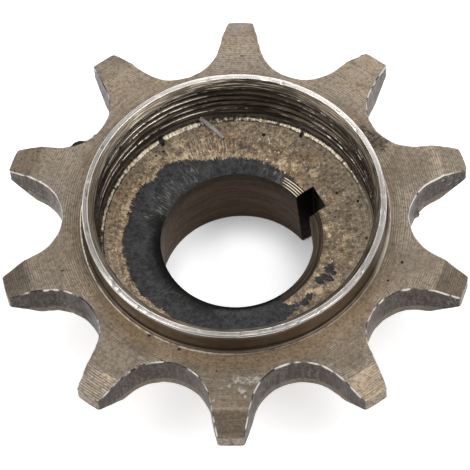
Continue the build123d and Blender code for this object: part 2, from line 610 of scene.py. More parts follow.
OUTER_FROM, INNER_TO = 14.31, 14.0
outer_rim_light = light_round_circle(
    (0.7, 178, 30), (0.45, 0, 16), (0.15, 95, 16), (-0.35, -108, 22), (-0.25, 62, 14)
)
inner_rim_light = light_round_circle((0.85, -2, 42), (0.95, 152, 12), (0.25, -60, 16), (-0.3, -150, 15))
flat_rim_light = light_round_circle(
    (0.13, -135, 28), (0.12, 132, 22), (0.05, 178, 15), (0.12, 62, 14),
    (-0.16, -6, 34), (-0.1, -90, 14), (-0.1, 92, 12),
)
rim_r = hypot(rim_grid[..., 0], rim_grid[..., 1])
rim_light_mark = where(rim_r < INNER_TO, inner_rim_light, flat_rim_light)
rim_light_mark = where(rim_r > OUTER_FROM, outer_rim_light, rim_light_mark)
rim_dents = clip(cloud(rim_grid, 0.6, 9) - 0.72, 0, None)
rim_grid[1:-1, :, 2] -= 0.3 * rim_dents[1:-1]
print("deepest dent in the rim in mm:", round(0.3 * rim_dents.max(), 3))

# %% [markdown]
# ## The thread
# Pullers have worn the crests to bright, broken lines, and a painted glint
# brightens them where the side lamps strike.  A screw modifier would wind a
# perfect thread.  Rows that climb with the angle make the same helix and leave
# each point free to be torn, lumpy or rubbed.

# %% Thread wall
PITCH, THREAD_DEPTH, FADE_H = 0.9, 0.25, 0.25
ROWS_A_TURN = 16
climb = PITCH * THETA / (2 * pi)
first_row = THREAD_END - PITCH / 2 - 0.1
row_height = np.arange(first_row, LEAD_END + PITCH, PITCH / ROWS_A_TURN)
helix_z = clip(row_height[:, None] + climb, THREAD_END, LEAD_END)
wall = at_height(CREST_R * np.cos(THETA), CREST_R * np.sin(THETA), helix_z)
in_turn = (np.arange(len(row_height)) / ROWS_A_TURN + 0.5) % 1 - 0.5
groove = interp(np.abs(in_turn), [0.0, 0.11, 0.3, 0.5], [0.0, 0.0, 1.0, 1.0])[:, None]
over_end = helix_z - THREAD_END
fade = clip((LEAD_END - helix_z) / FADE_H, 0, 1) * clip(over_end / FADE_H, 0, 1)
torn = clip(cloud(wall * (0.3, 0.3, 1), 0.7, 6) - 0.62, 0, None)
chatter = cloud(wall * (0.4, 0.4, 0.5), 0.3, 4) - 0.5
cut = THREAD_DEPTH * groove + 0.02 * chatter * (1 - groove) + 0.25 * torn * (1 - groove)
wall = pushed(wall, fade * cut)
print("turns of thread:", round((LEAD_END - THREAD_END) / PITCH, 1), "wall grid:", helix_z.shape)

# %% Rubbed and glinting crests, and lumps of dirt
# The crests are rubbed, and a painted glint makes them brightest over two arcs,
# right and left, where the side lamps strike.
LEAST_GLINT = 0.26
light_arcs = maximum(0.75 * hump(AZIMUTH - 42, 29, 4), hump(AZIMUTH - 136, 32, 4))
rubbed_and_glint = LEAST_GLINT + (1 - LEAST_GLINT) * light_arcs
ends_at = interp(AZIMUTH, [70, 100], [0.145, 0.18])
across = in_turn[:, None]
crest_line = clip(minimum(across / 0.05, (ends_at - across) / 0.05), 0, 1)
crest_line = crest_line + 0.5 * hump(across + 0.12, 0.045)
dash = interp(AZIMUTH, [70, 100], [0.26, 0.12])
breaks = clip(4.0 * cloud(wall * at_height(dash, dash, 1.0), 0.45, 7) - 0.65, 0, 1)
uneven_turns = 0.45 + 1.1 * cloud(wall * (0.06, 0.06, 1.1), 1.0, 24)
nicked = clip(8 * (cloud(wall, 0.35, 17) - 0.7), 0, 1)
crest_wear_and_glint = crest_line * fade * breaks * (1 - nicked) * rubbed_and_glint * uneven_turns
crest_wear_and_glint = clip(crest_wear_and_glint, 0, 1)
LUMPS = [  # azimuth, height, size
    (96.0, 11.15, 0.3), (94.2, 11.0, 0.28), (92.9, 10.95, 0.22), (87.7, 13.2, 0.12),
    (88.4, 12.9, 0.1), (86.6, 11.8, 0.14),
]
for azimuth, height, size in LUMPS:
    away = hypot((AZIMUTH - azimuth) * CREST_R * pi / 180, helix_z - height)
    lump = hump(away, size) * (0.5 + cloud(wall, 0.2, 19)) * clip(over_end / 0.1, 0, 1)
    wall = pushed(wall, -0.5 * size * lump)
    crest_wear_and_glint = maximum(crest_wear_and_glint, 0.42 * lump)
print("rubbed and glinting:", round(float((crest_wear_and_glint > 0.5).mean() * 100), 1), "% of the thread")

# %% Run-out and corner band
RUN_OUT_R = 13.55
TUCKED = (12.78, 9.96)  # just under the floor's edge
run_out = section(
    [(CREST_R, THREAD_END), (RUN_OUT_R, THREAD_END - 0.1), (RUN_OUT_R, CORNER_TOP + 0.1)]
    + [(CREST_R, CORNER_TOP)], [2, 2, 2],
)
corner_band = section(
    [(CREST_R, CORNER_TOP), (13.18, 10.36), (FLOOR_EDGE_R, FLOOR_Z), TUCKED], [4, 5, 1]
)
buried = section([TUCKED, (13.4, 9.3), (COLLAR_R, FOOT_Z)], [1, 1])
bend = turned(corner_band, THETA)
row = np.arange(len(corner_band))[:, None]
inner_rows = minimum(row, row[::-1]) > 0
bend = pushed(bend, 0.05 * (cloud(bend, 0.25, 8) - 0.5) * inner_rows)
# Painted glint: the corner band's bright line is widened and brightened round the circle where the
# side lamps strike, and a few dark notches break it.
wide = interp(AZIMUTH, [25, 38, 60, 75, 100, 145, 160], [0.0, 0.45, 0.45, 0.1, 1.0, 0.9, 0.2])
band_line = minimum(row - (5.2 - 1.6 * wide), (7.2 + 1.4 * wide) - row)
band_line = clip(band_line + 0.6 + 1.6 * (cloud(bend, 0.3, 23) - 0.5), 0, 1)
band_glint = interp(
    AZIMUTH, [-10, 15, 30, 38, 60, 68, 80, 92, 104, 112, 135, 150, 160, 172, 180],
    [0.5, 0.52, 0.82, 1.22, 0.82, 1.12, 1.06, 0.44, 0.43, 0.95, 1.16, 0.56, 1.0, 0.98, 0.55],
)
corner_band_glint = 0.78 * band_line * band_glint
for azimuth, width in [(61.5, 1.0), (73.0, 0.8), (126.0, 1.3), (157.0, 0.7), (38.5, 0.5)]:
    corner_band_glint = corner_band_glint * (1 - hump(AZIMUTH - azimuth, width))
shell(
    "threaded_collar",
    [
        (turned(outside[:3], THETA), 1, {}),
        (turned(outside[2:6], THETA), 1, {"wear_and_light": 1}),
        (turned(outside[5:], THETA), 1, {}),
        (rim_grid, 0, {"wear_and_light": rim_light_mark}),
        (lead_grid, 4, {}),
        (wall[::-1], 2, {"wear_and_light": crest_wear_and_glint[::-1]}),
        (turned(run_out, THETA), 2, {}),
        (bend, 3, {"wear_and_light": corner_band_glint}),
        (turned(buried, THETA), 1, {}),
    ],
    ["rim_steel", "collar_wall", "thread_wall", "floor_corner", "lead_in"],
)

# %% [markdown]
# ## Bored hub and recess floor
# The floor falls gently to the bore.  Beside it a shallow dish kept its forging
# skin, since the tool passed over it.  Sculpting would part shape from colour,
# so one formula sets the height and marks where the skin lies.

# %% Bore outline with its keyway
BORE_R, MOUTH_WIDE, MOUTH_DROP = 7.42, 8.37, 0.34
KEY_W, KEY_REACH, KEY_ROUND, KEY = 2.6, 9.2, 0.12, radians(30)


def bore_outline(radius):
    """The bore with its keyway, from the point opposite the key."""
    half = KEY_W / 2
    start, side_end = np.arcsin(half / radius), KEY_REACH - KEY_ROUND
    angle = linspace(-pi, -start, 281)
    side = linspace(radius * cos(start), side_end, 12)[1:]
    turn = linspace(0, pi / 2, 5)[1:-1]
    low_corner = [side_end + KEY_ROUND * np.sin(turn), -half + KEY_ROUND * (1 - np.cos(turn))]
    low_half = concatenate([
        radius * stack([np.cos(angle), np.sin(angle)], 1),
        stack([side, np.full_like(side, -half)], 1),
        stack(low_corner, 1),
    ])
    back = linspace(-half + KEY_ROUND, half - KEY_ROUND, 15)
    back = stack([np.full_like(back, KEY_REACH), back], 1)
    return turned_by(concatenate([low_half, back, low_half[::-1] * (1, -1)]), KEY)


bore = bore_outline(BORE_R)
bore_r = hypot(*bore.T)
rays = bore / bore_r[:, None]
HUB_THETA = np.unwrap(np.arctan2(rays[:, 1], rays[:, 0]))
print("bore columns:", len(bore), "keyway corner radius in mm:", round(bore_r.max(), 2))

# %% Floor formula
FALL = tan(radians(9))
DISH_DEPTH = 0.13
SKIN_EDGE = [  # azimuth, radius
    (-180, 11.1), (-166, 11.1), (-146, 11.1), (-132, 10.8), (-100, 10.7), (-65, 10.3), (-57, 10.1),
    (-52, 9.5), (-48, 8.9), (-44, 7.2), (36, 7.0), (40, 8.0), (46, 8.5), (54, 8.75), (66, 8.83),
    (79, 9.04), (89, 9.0), (111, 9.44), (122, 10.3), (132, 10.86), (143, 10.55), (150, 11.2),
    (158, 11.0), (171, 10.95), (180, 11.1),
]
ISLANDS = [  # azimuth, radius, size
    (-19.5, 9.7, 0.35), (-22.5, 9.65, 0.58), (-26.5, 9.55, 0.62), (-30.5, 9.4, 0.42),
    (-48, 9.7, 0.5), (-43, 9.75, 0.36), (-38.5, 9.7, 0.28), (-52, 9.5, 0.5),
]
BARE_BY_BORE = (-50, 8.2, 1.0)


def skin_at(x, y, softness=0.8):
    """How far the forging skin covers a point of the floor, 0 to 1."""
    spot = at_height(x, y)
    azimuth, edge = np.array(SKIN_EDGE).T
    reach_in = interp(np.degrees(np.arctan2(y, x)), azimuth, edge) - hypot(x, y)
    angle, r, size = BARE_BY_BORE
    reach_in = minimum(reach_in, distance(x, y, r, angle) - size)
    for angle, r, size in ISLANDS:
        inside = size - distance(x, y, r, angle) + 0.7 * (cloud(spot, 0.45, 16) - 0.5)
        reach_in = maximum(reach_in, inside)
    ragged = 0.3 * (cloud(spot, 1.3, 11) - 0.5) + 0.3 * (cloud(spot, 0.4, 12) - 0.5)
    return clip((reach_in + ragged) / softness + 0.5, 0, 1)


def floor_z(x, y):
    r = hypot(x, y)
    coned = FLOOR_Z - (FLOOR_EDGE_R - r) * FALL
    spot = at_height(x, y)
    lumps = 0.03 * (cloud(spot, 0.8, 14) - 0.5) + 0.03 * (cloud(spot, 0.3, 15) - 0.5)
    floor = coned - DISH_DEPTH * skin_at(x, y, 0.9) + lumps
    mouth_z = FLOOR_Z - (FLOOR_EDGE_R - MOUTH_WIDE) * FALL
    mouth = mouth_z - (MOUTH_WIDE - r) * MOUTH_DROP / (MOUTH_WIDE - BORE_R)
    grooves = 0.02 * np.cos(2 * pi * (r - BORE_R) / 0.2) * (r < MOUTH_WIDE)
    return minimum(floor, mouth + grooves)


def floor_sheet(r_from, r_to, count):
    """Rows over the floor between two radii for each column."""
    rows = []
    for f in linspace(0, 1, count):
        x, y = (rays * (r_from + (r_to - r_from) * f)[:, None]).T
        rows.append(at_height(x, y, floor_z(x, y)))
    return stack(rows)


print("height of the floor's edge in mm:", floor_z(0, -12.8).round(2))

# %% [markdown]
# ## The hub
# Bore, keyway and hub were cut in one setting.  A boolean would leave long thin
# faces, so every sheet keeps the columns of the bore's outline, and floor, bore
# and hub meet point on point.

# %% Hub mesh
BORE_LAND, TAPER, TAIL = 1.0, 0.1, 0.2
SHOULDER_Z, HUB_R, HUB_EDGE, FLOOR_R = 6.55, 11.0, 0.4, 13.0
mouth_r = maximum(bore_r, MOUTH_WIDE)
floor = floor_sheet(np.full(len(bore), FLOOR_R), mouth_r, 48)
mouth = floor_sheet(mouth_r, bore_r, 18)
lip_z = mouth[-1][:, 2]
land_end = lip_z.mean() - BORE_LAND
bore_rows = [at_height(*bore.T, lip_z + (land_end - lip_z) * f) for f in (0, 0.3, 0.65, 1)]
for height in linspace(land_end, TAIL, 12)[1:]:
    bore_rows.append(at_height(*bore_outline(BORE_R + (land_end - height) * TAPER / 2).T, height))
bore_rows = stack(bore_rows)
tail_ring = bore_outline(hypot(*bore_rows[-1][0, :2]) + TAIL)
hub_rays = stack([np.cos(HUB_THETA), np.sin(HUB_THETA)], 1)
seat_ring = hub_rays * (HUB_R - HUB_EDGE)
tail = [at_height(*(tail_ring * (1 - f) + seat_ring * f).T, 0.0) for f in linspace(0, 1, 8)]
hub_cut = section(
    [(HUB_R - HUB_EDGE, 0), (HUB_R, HUB_EDGE)]
    + round_corner((HUB_R + 1.2, SHOULDER_Z - 1.2), 1.2, 180, 90, 9)
    + [(14.1, SHOULDER_Z), (14.5, SHOULDER_Z + 0.4), (14.5, 9.4), (13.6, 9.6), (FLOOR_R, 9.9)],
    [1, 6] + [1] * 8 + [3, 1, 4, 1, 1],
)
hub_out = concatenate([turned(hub_cut, HUB_THETA), floor[:1]])
in_key = bore_r > BORE_R + 0.01


def skin_marks(sheet):
    """The skin, and a wider halo round it."""
    x, y = sheet[..., 0], sheet[..., 1]
    return {"skin": skin_at(x, y), "halo": skin_at(x, y, 1.6)}


shell(
    "bored_hub",
    [
        (floor, 0, skin_marks(floor)),
        (mouth, 1, skin_marks(mouth)),
        (bore_rows, 2, {"wear_and_light": in_key.astype(float)}),
        (concatenate([bore_rows[-1:], stack(tail)]), 3, {}),
        (hub_out, 3, {}),
    ],
    ["recess_floor", "bore_mouth", "bore_wall", "hub_steel"],
    marks=("wear_and_light", "skin", "halo"),
)

# %% [markdown]
# ## Swarf
# A flat curl of swarf is pressed into the corner of the recess.  It could be
# drawn in the floor's colour, but it has an edge and a shadow, so it is a piece
# of its own that lies on the floor and climbs the corner.

# %% Swarf strip
STRIP_ROWS, HALF_WIDTHS, HALF_THICK = 25, (0.24, 0.15), 0.035
stations = [(13.28, 106.8, 10.98), (12.7, 103.6, 10.2), (11.95, 100.7, 10.02), (11.15, 98.0, 9.88)]
path = np.array([(*polar(r, azimuth)[:2], z) for r, azimuth, z in stations])
steps = linspace(0, len(path) - 1, STRIP_ROWS)
path = stack([interp(steps, range(len(stations)), path[:, k]) for k in range(3)], 1)
sideways = np.cross(np.gradient(path, axis=0), (0, 0, 1))
half_width = linspace(*HALF_WIDTHS, STRIP_ROWS) / np.linalg.norm(sideways, axis=1)
sideways *= half_width[:, None]
corners = [(-1, -1), (1, -1), (1, 1), (-1, 1), (-1, -1)]
strip = stack([path + sideways * side + (0, 0, HALF_THICK * up) for side, up in corners], 1)
strip = concatenate([path[:1, None].repeat(5, 1), strip, path[-1:, None].repeat(5, 1)])
shell("swarf_strip", [(strip, 0, {})], ["swarf_steel"])

# %% [markdown]
# ## Finishes
# All of it is one steel: turned and filmed with oil, rubbed bare, or never
# machined.  On the faces of the teeth an uneven film lies over the turning lines.
# An image would repeat and blur.  Noise drawn out round the axis does neither,
# and lists of (radius, azimuth, size) set the few marks that have a place.

# %% Turned faces of the teeth
def turned_face(
    name, pitch, cut, grey, tan_film, most_lines=0.5, specks=(), scuffs=(), oily=(), sooty=(),
    rubbed_and_glint=(), worn_smooth=(), rubbed_tone=(0.52, 0.39, 0.26),
):
    """A face with a feed line every pitch and cut this deep, both in mm."""
    g = Graph(name, grey)
    g.paint("tan film", tan_film, g.noise(0.16, 4, 0.65), 0.4, 0.62)
    # Painted shade: the faces darken towards the near side, where less lamp light falls.
    g.paint("painted shade near side", (0.135, 0.106, 0.078), g.y, 8, -20, 0.66)
    stain = g.blend(g.span(g.y, -4, -12), (0.125, 0.089, 0.057), (0.34, 0.235, 0.135))
    uneven_r = g.plus(g.radius, g.times(g.noise(0.5), 2))
    g.paint("stain", stain, g.span(uneven_r, 16.4, 18.2, 0.75, 0))
    fewest = g.span(g.y, -8, 2, 0.04, 0.22)
    shown = g.span(g.noise(0.35), 0.42, 0.62, fewest, most_lines)
    right_lines = g.times(g.span(g.x, 12, 17), g.span(g.y, -6, 0, 0, 0.6))
    smeared = g.vector("DISTANCE", g.flat, (0.5, -18.5, 0), want="Value")
    shown = g.times(
        g.most(shown, right_lines), g.span(smeared, 2.5, 5.5, 0.15, 1),
        g.minus(1, g.spots(worn_smooth, 0.65)),
    )
    lines = g.plus(g.times(g.lines(pitch, 0.35), shown), g.rings(0.09, 3.5))
    g.paint("turning lines", (0.515, 0.437, 0.345), lines, 0.35, 1.25, 0.62)
    g.paint("pits", (0.03, 0.024, 0.018), g.noise(1.6, 2, 0.5), 0.745, 0.78)
    g.paint("rust", (0.26, 0.145, 0.075), g.noise(0.75, 4, 0.6), 0.6, 0.72, 0.35)
    g.paint("oil", (0.085, 0.066, 0.048), g.spots(oily, 0.42))
    g.paint("rubbed_and_glint", rubbed_tone, g.spots(rubbed_and_glint, 0.42))
    grain = g.noise(3.4, 5, 0.75)
    g.paint("dark grain", (0.098, 0.074, 0.053), grain, 0.46, 0.64, 0.66)
    g.paint("pale grain", (0.5, 0.43, 0.34), grain, 0.42, 0.34, 0.35)
    if sooty:
        soot = g.times(g.spots(sooty), g.span(grain, 0.38, 0.58, 0.35, 0.95))
        g.paint("soot", (0.045, 0.036, 0.028), soot)
    if specks:
        g.paint("specks", (0.018, 0.014, 0.012), g.spots(specks))
    if scuffs:
        ragged = g.span(g.noise(3.6, 3, 0.7), 0.6, 0.4, 0.1, 0.85)
        g.paint("scuffs", (0.44, 0.4, 0.35), g.times(g.spots(scuffs), ragged))
    g.paint("bare edge and highlight", (0.62, 0.6, 0.57), g.mark("wear_and_light"), 0.3, 0.8)
    rough = g.span(g.noise(0.5), 0.3, 0.7, 0.36, 0.5)
    g.steel(rough, g.bump(grain, 0.012, g.bump(lines, cut)))


turned_face(
    "tooth_face", 0.215, 0.014, (0.222, 0.184, 0.147), (0.262, 0.201, 0.138),
    specks=[
        (14.99, -121.5, 0.16), (15.1, -109.2, 0.17), (16.15, -25.4, 0.14), (18.76, -73, 0.13),
        (16.68, -17.3, 0.2),
    ],
    scuffs=[
        (17.38, -88.3, 0.5), (17.5, -86.6, 0.5), (17.62, -84.4, 0.5), (17.68, -82.4, 0.5),
        (19.65, -94.8, 0.25), (19.3, -86, 0.22), (18.1, -90.6, 0.25), (18.4, -93, 0.2),
        (20.9, -124, 0.2), (20.6, -122.4, 0.3), (18.6, -87, 0.4),
    ],
    oily=[(17.6, 18.5, 2.9)], sooty=[(15.9, 33, 1.5), (15.2, 39, 0.9)],
    rubbed_and_glint=[(18.6, -126, 1.9)], rubbed_tone=(0.36, 0.3, 0.23),
    worn_smooth=[(18.9, -126, 2.3), (18.2, -110, 1.6), (18.5, -54, 1.8)],
)
turned_face(
    "tip_bevel", 0.205, 0.024, (0.19, 0.163, 0.135), (0.3, 0.225, 0.145), 0.8,
    oily=[(21.8, -18, 2.6), (21.8, -90, 2.2), (21.8, -162, 2)],
    rubbed_and_glint=[(21.8, -54, 2.2), (21.8, 54, 1.7), (21.8, 162, 2), (20.6, -124, 0.7)],
)

# %% [markdown]
# ## Flanks
# The cutter left the flanks rough and dark, and the chain rubbed their edges
# bright; at the left and right gaps the edges also carry a painted highlight.
# Curvature could find the edges, but is lost in a bake, so the marks on the
# vertices do it.  A warm specular tint keeps the table's mirror image down.

# %% Flanks
g = Graph("tooth_flank", (0.021, 0.017, 0.0145))
streaks = g.noise(3.4, 4, 0.6, stretch=(1, 1, 0.25))
blotch, grit = g.noise(0.7, 4, 0.6), g.noise(3.6, 4, 0.7)
wear_and_light = g.mark("wear_and_light")
g.paint("streaks", (0.08, 0.067, 0.057), streaks, 0.35, 0.68)
g.paint("blotches", (0.105, 0.083, 0.062), blotch, 0.5, 0.72, 0.6)
sparkling = g.span(g.noise(0.5, 2), 0.45, 0.62, 0.15, 0.9)
sparkling = g.times(sparkling, g.span(g.y, -3, 3, 0.3, 1))
g.paint("sparkles", (0.42, 0.395, 0.37), g.times(g.span(grit, 0.57, 0.64), sparkling))
g.paint("black grit", (0.01, 0.0085, 0.0075), grit, 0.47, 0.38, 0.9)
low_band = g.span(g.z, UNDER_Z + 1.05, UNDER_Z + 0.7)
low_band = g.times(low_band, g.span(blotch, 0.4, 0.55, 0.55, 1))
g.paint("low band", (0.155, 0.13, 0.1), low_band)
tip_tone = g.blend(g.span(grit, 0.4, 0.6), (0.14, 0.112, 0.085), (0.34, 0.28, 0.21))
g.paint("tip land", tip_tone, g.radius, TIP_R - 0.22, TIP_R - 0.08, 0.85)
uneven_wear_and_light = g.plus(wear_and_light, g.times(g.minus(blotch, 0.5), 0.8))
g.paint("bare edge and highlight", (0.7, 0.665, 0.62), uneven_wear_and_light, 0.3, 0.85)
left_grit = g.times(g.span(grit, 0.48, 0.38, 0, 0.6), g.span(wear_and_light, 0.9, 0.5))
g.paint("edge grit", (0.02, 0.016, 0.013), left_grit)
soot = g.spots([(20.2, 130.5, 1.8), (17, -144, 2.4)], 0.85)
g.paint("soot", (0.012, 0.011, 0.01), soot)
g.paint("dust", (0.15, 0.14, 0.13), g.spots([(17, 144, 2.4)], 0.4))
burrs = [(r + 0.1, azimuth, size * 1.1) for r, azimuth, size, _ in BURRS + LOW_BURRS]
g.paint("burrs", (0.022, 0.018, 0.015), g.spots(burrs))
g.steel(
    g.span(blotch, 0.3, 0.7, 0.3, 0.46), g.bump(streaks, 0.02, g.bump(grit, 0.02)),
    Specular_Tint=(0.86, 0.815, 0.79),
)

# %% [markdown]
# ## Rim and lead-in
# The rim is the one clean surface, with rings as fine as hair and a score on its
# left.  Anisotropic steel draws the glints across them, which a plain shader
# can't.  The lead-in keeps grease in its grooves and shows gold where wiped.

# %% Rim
g = Graph("rim_steel", (0.6, 0.555, 0.52))
fine = g.rings(0.045, 3)
g.paint("fine rings", (0.245, 0.22, 0.2), fine, 0.3, 0.7, 0.6)
g.paint("dirt", (0.2, 0.17, 0.14), g.noise(2.4, 4, 0.7), 0.64, 0.78)
g.paint("outer round", (0.75, 0.72, 0.68), g.radius, 14.32, 14.36)
# Painted light: the colour is raised towards azimuth 75, where the back lamp falls, with a painted
# highlight round azimuth -127, and the stored light mark then scales it round the circle.
glint = g.span(g.towards(-127), 0.86, 0.985, 0, 0.34)
g.dim(g.plus(g.span(g.towards(75), 0.2, 0.95, 0.72, 1.3), glint))
g.paint("inner lip", (0.8, 0.76, 0.71), g.span(g.radius, 13.97, 14.01, 1, 0))
score = g.times(g.span(g.radius, 14.08, 14.1), g.span(g.radius, 14.17, 14.15))
g.paint("score", (0.12, 0.105, 0.09), g.times(score, g.span(g.x, -3, -9, 0.1, 0.75)))
g.dim(g.mark("wear_and_light"))
g.steel(
    g.span(fine, 0.3, 0.7, 0.24, 0.36), g.bump(fine, 0.014), 1,
    Anisotropic=0.55, Tangent=g.add("Tangent", direction_type="RADIAL", axis="Z"),
)

# %% Lead-in
g = Graph("lead_in", (0.08, 0.061, 0.044))
fine = g.rings(0.05, 2.2)
g.paint("turning rings", (0.46, 0.375, 0.28), fine, 0.4, 0.58)
g.paint("paler left", (0.6, 0.5, 0.37), g.x, 0, -6, 0.4)
g.paint("grooves", (0.05, 0.038, 0.028), g.lines(0.14, 0.3), 0.55, 0.95, 0.7)
g.paint("foot", (0.06, 0.045, 0.033), g.radius, 13.62, 13.42, 0.55)
g.paint("far side", (0.05, 0.038, 0.028), g.y, 11, 13.4, 0.75)
gold = g.times(
    g.span(g.x, 6, -2, 0.3, 1), g.span(g.rings(0.08, 2.6), 0.5, 0.6),
    g.span(fine, 0.38, 0.52, 0.3, 0.95), g.span(g.x, -13.5, -9.5, 0.45, 1),
)
g.paint("gold", (0.97, 0.86, 0.66), gold)
g.steel(0.38, g.bump(fine, 0.03))

# %% [markdown]
# ## Collar wall
# Nothing touches the collar's outside, so it stayed dull and brown.  The land at
# its foot could be one bright ring, but a wiped edge is broken, so noise cuts it.

# %% Collar wall
g = Graph("collar_wall", (0.105, 0.075, 0.052))
bands = g.noise(4, stretch=(0.05, 0.05, 1))
g.paint("patches", (0.15, 0.112, 0.08), g.noise(0.5), 0.35, 0.7)
# Painted sheen: the wall is paler just under the rim.
g.paint("sheen under the rim", (0.3, 0.25, 0.2), g.z, TOTAL_H - 0.9, TOTAL_H - 0.2, 0.6)
low_right = g.times(g.span(g.x, 13, 14), g.span(g.y, -0.5, -3, 0, 0.8))
g.paint("low right", (0.42, 0.37, 0.31), low_right)
# The land line is partly rubbed wear and partly a painted highlight on the land's edge, strongest
# on the left.
land_line = g.times(
    g.span(g.mark("wear_and_light"), 0.4, 0.9), g.span(g.radius, 14.77, 14.81),
    g.span(g.noise(0.8), 0.34, 0.5, 0.25, 1), g.span(g.x, 2, -3, 0.5, 1),
)
g.paint("land line", (0.92, 0.85, 0.72), land_line)
g.steel(g.span(bands, 0.3, 0.7, 0.26, 0.38), g.bump(bands, 0.012))

# %% [markdown]
# ## Thread and floor corner
# Grease fills the thread, and only its crests and the corner below are bright:
# the crests rubbed, and both with a painted glint where the side lamps strike.
# Ambient occlusion could place the dirt, at the cost of samples in each render.
# The stored marks do it for nothing, and grit breaks the bright lines up.

# %% Thread
g = Graph("thread_wall", (0.026, 0.0195, 0.0145))
wear_and_light, grit = g.mark("wear_and_light"), g.noise(2.6, 4, 0.65)
long_streaks = g.noise(1.2, stretch=(0.13, 0.13, 5))
thin_streaks = g.noise(1.1, 2, stretch=(0.22, 0.22, 10))
g.paint("long streaks", (0.112, 0.084, 0.06), long_streaks, 0.38, 0.66)
g.paint("thin streaks", (0.27, 0.22, 0.165), thin_streaks, 0.56, 0.72, 0.9)
g.paint("dark grit", (0.03, 0.022, 0.016), grit, 0.62, 0.74, 0.8)
g.paint("darker right", (0.02, 0.0155, 0.012), g.x, 3, 9, 0.4)
shine = g.span(g.plus(wear_and_light, g.times(g.minus(grit, 0.5), 0.3)), 0.25, 0.7)
g.paint("rubbed and glinting crests", (0.92, 0.86, 0.76), shine)
glints = g.times(
    g.span(g.noise(1.3, 2, 0.5, (1, 1, 6)), 0.54, 0.6), g.span(wear_and_light, 0.06, 0.25),
    g.span(g.x, 2, 7, 0.2, 0.9),
)
g.paint("glints", (1, 0.95, 0.86), glints)
rough = g.minus(g.span(grit, 0.35, 0.65, 0.34, 0.5), g.times(shine, 0.08))
g.steel(rough, g.bump(thin_streaks, 0.025, g.bump(grit, 0.015)))

# %% Floor corner
g = Graph("floor_corner", (0.048, 0.036, 0.026))
beads, grit = g.spokes(430, 0.35, 2), g.noise(3.2, 3, 0.6)
g.paint("grit", (0.17, 0.133, 0.097), grit, 0.4, 0.65)
ringed = g.span(g.rings(0.1, 4, 2), 0.4, 0.6)
ringed = g.blend(ringed, (0.2, 0.16, 0.115), (0.56, 0.47, 0.35))
right_side = g.times(g.span(g.x, 8.5, 11.5), g.span(g.y, 7.5, 3.5, 0, 0.75))
g.paint("right rings", ringed, right_side)
shine = g.plus(g.mark("wear_and_light"), g.times(g.minus(grit, 0.5), 1.1))
shine = g.plus(shine, g.times(g.minus(beads, 0.5), 0.3))
bright = g.blend(g.span(beads, 0.36, 0.6), (0.46, 0.34, 0.2), (1, 0.91, 0.74))
g.paint("bright band", bright, g.span(shine, 0.26, 0.64))
g.paint("stuck dirt", (0.022, 0.013, 0.015), g.spots([(13.05, 126, 0.42), (12.95, 61.5, 0.25)]))
g.steel(0.42, g.bump(beads, 0.03), 0.6)

# %% [markdown]
# ## Recess floor
# Rust, dried oil and dents have made the floor blotchy at every scale.  One noise
# looks like fog, so noises from coarse to fine each lay their own tones.

# %% Bare floor
SPECKS = [
    (12.03, 128, 0.17), (12.12, 132, 0.15), (12.3, 18, 0.2), (10.79, 26.5, 0.15), (9.73, 13, 0.14),
    (11.6, 78, 0.24), (12.75, 61.5, 0.22), (12.75, 126, 0.25), (11.2, 98.3, 0.22),
]
FIBROUS = [(10.4, 103, 1.3), (10.7, 113, 1.3), (11, 124, 1.1), (11.2, 139, 1)]
PALE_PATCHES = [
    (9.46, 62.6, 0.7), (9.9, 56, 0.5), (10.5, 119.6, 0.6), (9.1, 33, 0.35), (11.3, 165, 0.6),
    (12.1, 120, 0.9), (12.1, 134, 0.9), (10.2, 44, 0.6), (8.85, 6.5, 0.3), (8.85, 1.5, 0.28),
    (9.9, -37, 0.5), (9.3, -41, 0.4),
]
OLIVE_PATCHES = [(10.26, 87.8, 0.42), (10.1, 86, 0.25), (10.13, 48.5, 0.3), (12.2, 100, 0.3)]


def floor_graph(name, ground):
    """A graph with the noises that the floor, its skin and the bore's mouth share."""
    g = Graph(name, ground)
    g.patch, g.mottle = g.noise(0.62, 3, 0.6), g.noise(1.1, 5, 0.7)
    g.crumbs, g.fine = g.noise(2.3, 5, 0.75), g.noise(3.8, 4, 0.65)
    g.fibres = g.spokes(560, 0.9)
    g.torn = g.plus(g.minus(g.fibres, 0.5), g.minus(g.fine, 0.5))
    return g


g = floor_graph("recess_floor", (0.16, 0.116, 0.074))
broad = g.noise(0.3, 3, 0.6)
g.paint("mottle", (0.385, 0.3, 0.198), g.mottle, 0.36, 0.62)
g.paint("rust", (0.27, 0.165, 0.093), broad, 0.48, 0.6, 0.7)
g.paint("grey patches", (0.19, 0.16, 0.122), g.patch, 0.52, 0.62, 0.75)
worn_grey = g.times(g.span(g.x, 4, 8), g.span(g.noise(0.45, 2), 0.42, 0.56, 0.1, 0.75))
g.paint("worn grey", (0.205, 0.16, 0.118), worn_grey)
g.paint("tan patches", (0.5, 0.385, 0.245), g.patch, 0.44, 0.34, 0.7)
